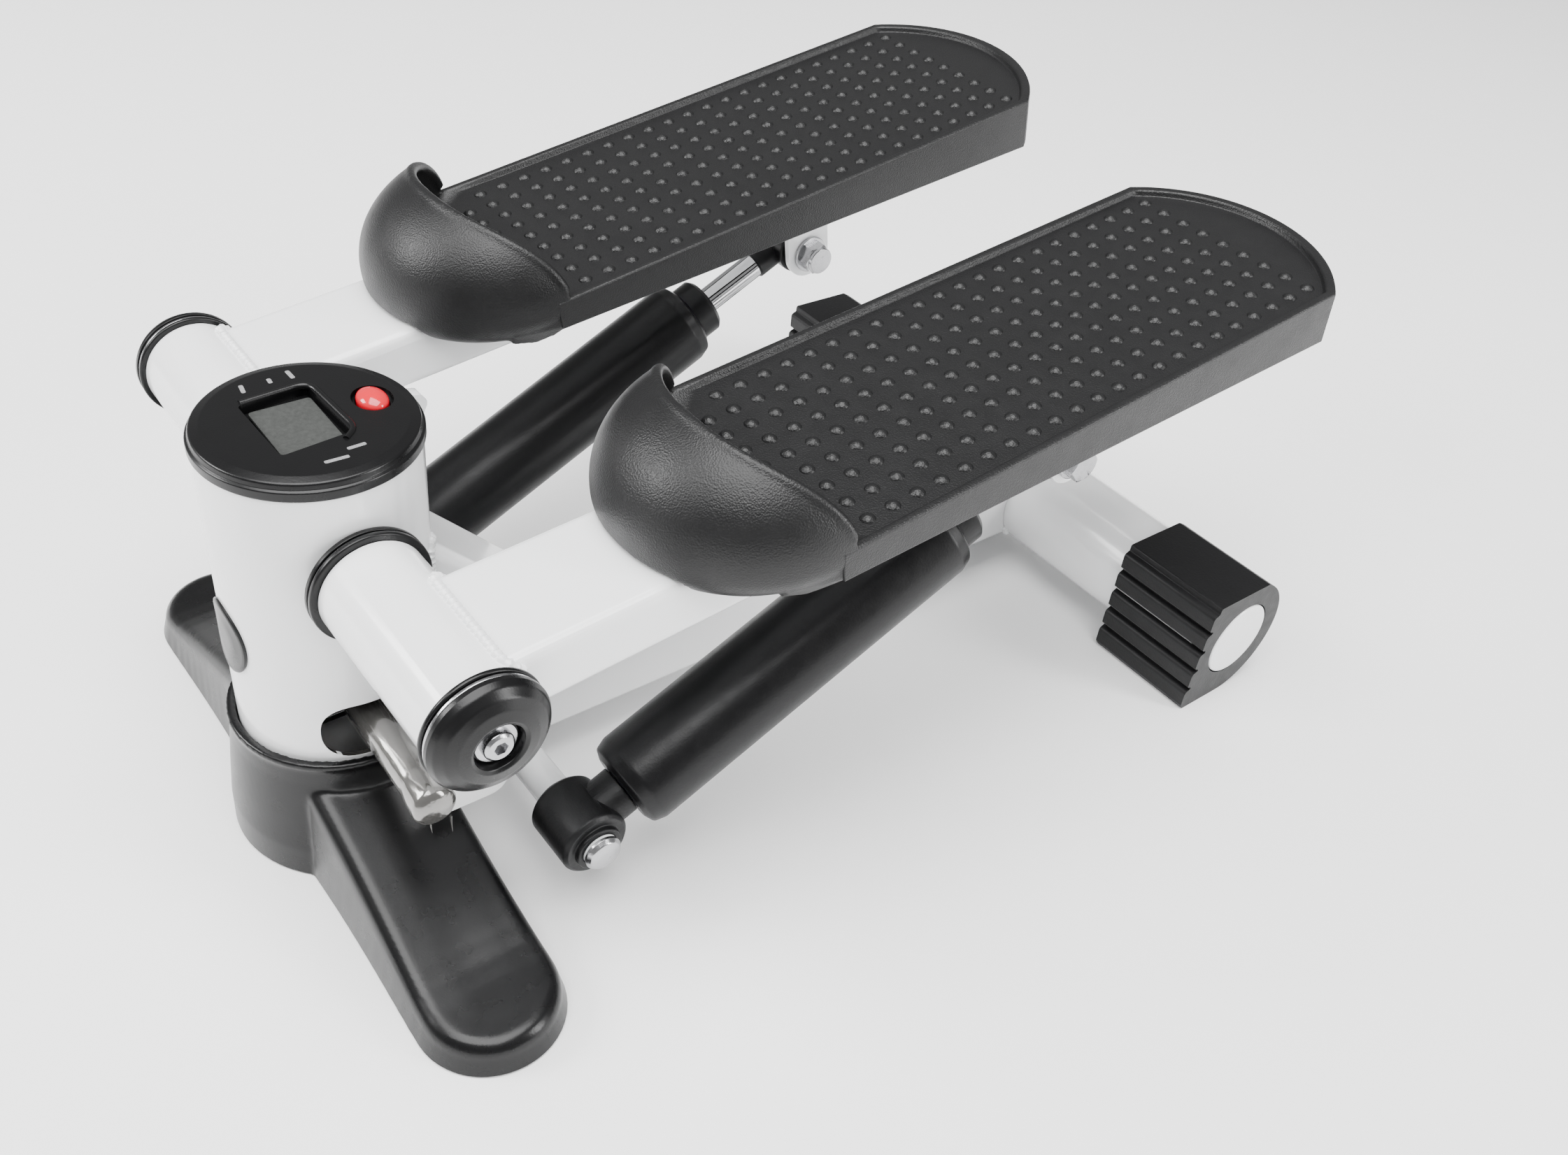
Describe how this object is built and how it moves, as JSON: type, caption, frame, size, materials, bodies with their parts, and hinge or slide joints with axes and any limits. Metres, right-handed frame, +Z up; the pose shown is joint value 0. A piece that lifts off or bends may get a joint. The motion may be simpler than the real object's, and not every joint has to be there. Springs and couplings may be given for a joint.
{
  "type": "mini stepper",
  "caption": "Compact under-desk style stepper: two alternating foot pedals on a cross axle, linked by a rocker bar and slowed by hydraulic cylinders, with a step counter on a round column.",
  "frame": {"origin": "middle of the bounding box on the floor plane", "axes": "+Z up, -Y the column and front of the machine, +Y the pedal heels and rear feet, +X the side of the user's left foot when standing on the pedals and facing the column"},
  "size_m": [0.3168, 0.451, 0.2308],
  "materials": {
    "white_paint": "smooth gloss white powder coat",
    "black_plastic": "semi-gloss black moulding",
    "pedal_plastic": "satin dark grey with a fine grain",
    "black_paint": "satin black paint",
    "rubber": "matte black",
    "bright_steel": "zinc-plated, greased on the rocker bar",
    "chrome": "polished",
    "lcd_window": "clear window over a grey blank display",
    "red_plastic": "glossy red",
    "circuit_board": "green solder mask"
  },
  "bodies": {
    "root": {"column": "white_paint", "frame_beam": "white_paint", "frame_brace": "white_paint", "rear_cross_tube": "white_paint", "front_base_cover": "black_plastic", "front_base_bar": "white_paint", "front_badge": "black_plastic", "console_housing": "black_plastic", "display_window": "lcd_window", "circuit_board": "circuit_board", "rocker_support": "bright_steel", "rocker_pin": "bright_steel", "step_sensor": "black_plastic", "lower_cross_rod": "white_paint", "pivot_axle": "bright_steel", "left_rear_foot": "rubber", "left_rear_plug": "white_paint", "left_front_pad": "rubber", "left_push_cap": "bright_steel", "left_thrust_washer": "black_plastic", "left_end_washer": "bright_steel", "left_end_cap": "black_plastic", "left_cap_bolt": "bright_steel", "right_rear_foot": "rubber", "right_rear_plug": "white_paint", "right_front_pad": "rubber", "right_push_cap": "bright_steel", "right_thrust_washer": "black_plastic", "right_end_washer": "bright_steel", "right_end_cap": "black_plastic", "right_cap_bolt": "bright_steel"},
    "left_swing_arm": {"left_arm": "white_paint", "left_crank_plate": "white_paint", "left_clevis": "white_paint", "left_clevis_bolt": "bright_steel", "left_clevis_nut": "bright_steel", "left_pedal": "pedal_plastic", "left_inner_bush": "black_plastic", "left_outer_bush": "black_plastic"},
    "left_cylinder": {"left_lower_eye": "rubber", "left_barrel": "black_paint", "left_gland": "black_paint"},
    "left_rod": {"left_piston_rod": "chrome", "left_rod_eye": "black_paint"},
    "right_swing_arm": {"right_arm": "white_paint", "right_crank_plate": "white_paint", "right_clevis": "white_paint", "right_clevis_bolt": "bright_steel", "right_clevis_nut": "bright_steel", "right_pedal": "pedal_plastic", "right_inner_bush": "black_plastic", "right_outer_bush": "black_plastic"},
    "right_cylinder": {"right_lower_eye": "rubber", "right_barrel": "black_paint", "right_gland": "black_paint"},
    "right_rod": {"right_piston_rod": "chrome", "right_rod_eye": "black_paint"},
    "rocker": {"rocker_bar": "bright_steel", "step_magnet": "bright_steel"},
    "button": {"reset_button": "red_plastic"}
  },
  "joints": [
    {"name": "left_arm_pivot", "type": "hinge", "parent": "root", "child": "left_swing_arm", "pos_m": [0, -0.17955, 0.1396], "axis": [1, 0, 0], "range_deg": [-10.79, 13.21]},
    {"name": "right_arm_pivot", "type": "hinge", "parent": "root", "child": "right_swing_arm", "pos_m": [0, -0.17955, 0.1396], "axis": [1, 0, 0], "range_deg": [-13.3, 10.9]},
    {"name": "rocker_turn", "type": "hinge", "parent": "root", "child": "rocker", "pos_m": [0, -0.17955, 0.071], "axis": [0, 0, 1], "range_deg": [-11.6, 14.2]},
    {"name": "left_cylinder_swing", "type": "hinge", "parent": "root", "child": "left_cylinder", "pos_m": [0.091, -0.12665, 0.0347], "axis": [1, 0, 0], "range_deg": [-11.1, 13.5]},
    {"name": "right_cylinder_swing", "type": "hinge", "parent": "root", "child": "right_cylinder", "pos_m": [-0.091, -0.12665, 0.0347], "axis": [1, 0, 0], "range_deg": [-13.5, 11.1]},
    {"name": "left_rod_slide", "type": "slide", "parent": "left_cylinder", "child": "left_rod", "axis": [0, 0.9115, 0.4112], "range_m": [-0.0225, 0.0275]},
    {"name": "right_rod_slide", "type": "slide", "parent": "right_cylinder", "child": "right_rod", "axis": [0, 0.8933, 0.4496], "range_m": [-0.0275, 0.0225]},
    {"name": "button_press", "type": "slide", "parent": "root", "child": "button", "axis": [0, 0, -1], "range_m": [0, 0.0012], "stiffness_N_per_m": 400, "springref_m": -0.0005}
  ],
  "couplings": [
    {"joint": "right_arm_pivot", "follows": "left_arm_pivot", "ratio": -1},
    {"joint": "rocker_turn", "follows": "left_arm_pivot", "ratio": 1.06},
    {"joint": "left_cylinder_swing", "follows": "left_arm_pivot", "ratio": 1.0102},
    {"joint": "right_cylinder_swing", "follows": "left_arm_pivot", "ratio": -1.0102},
    {"joint": "left_rod_slide", "follows": "left_arm_pivot", "m_per_rad": 0.11654},
    {"joint": "right_rod_slide", "follows": "left_arm_pivot", "m_per_rad": -0.11655}
  ]
}
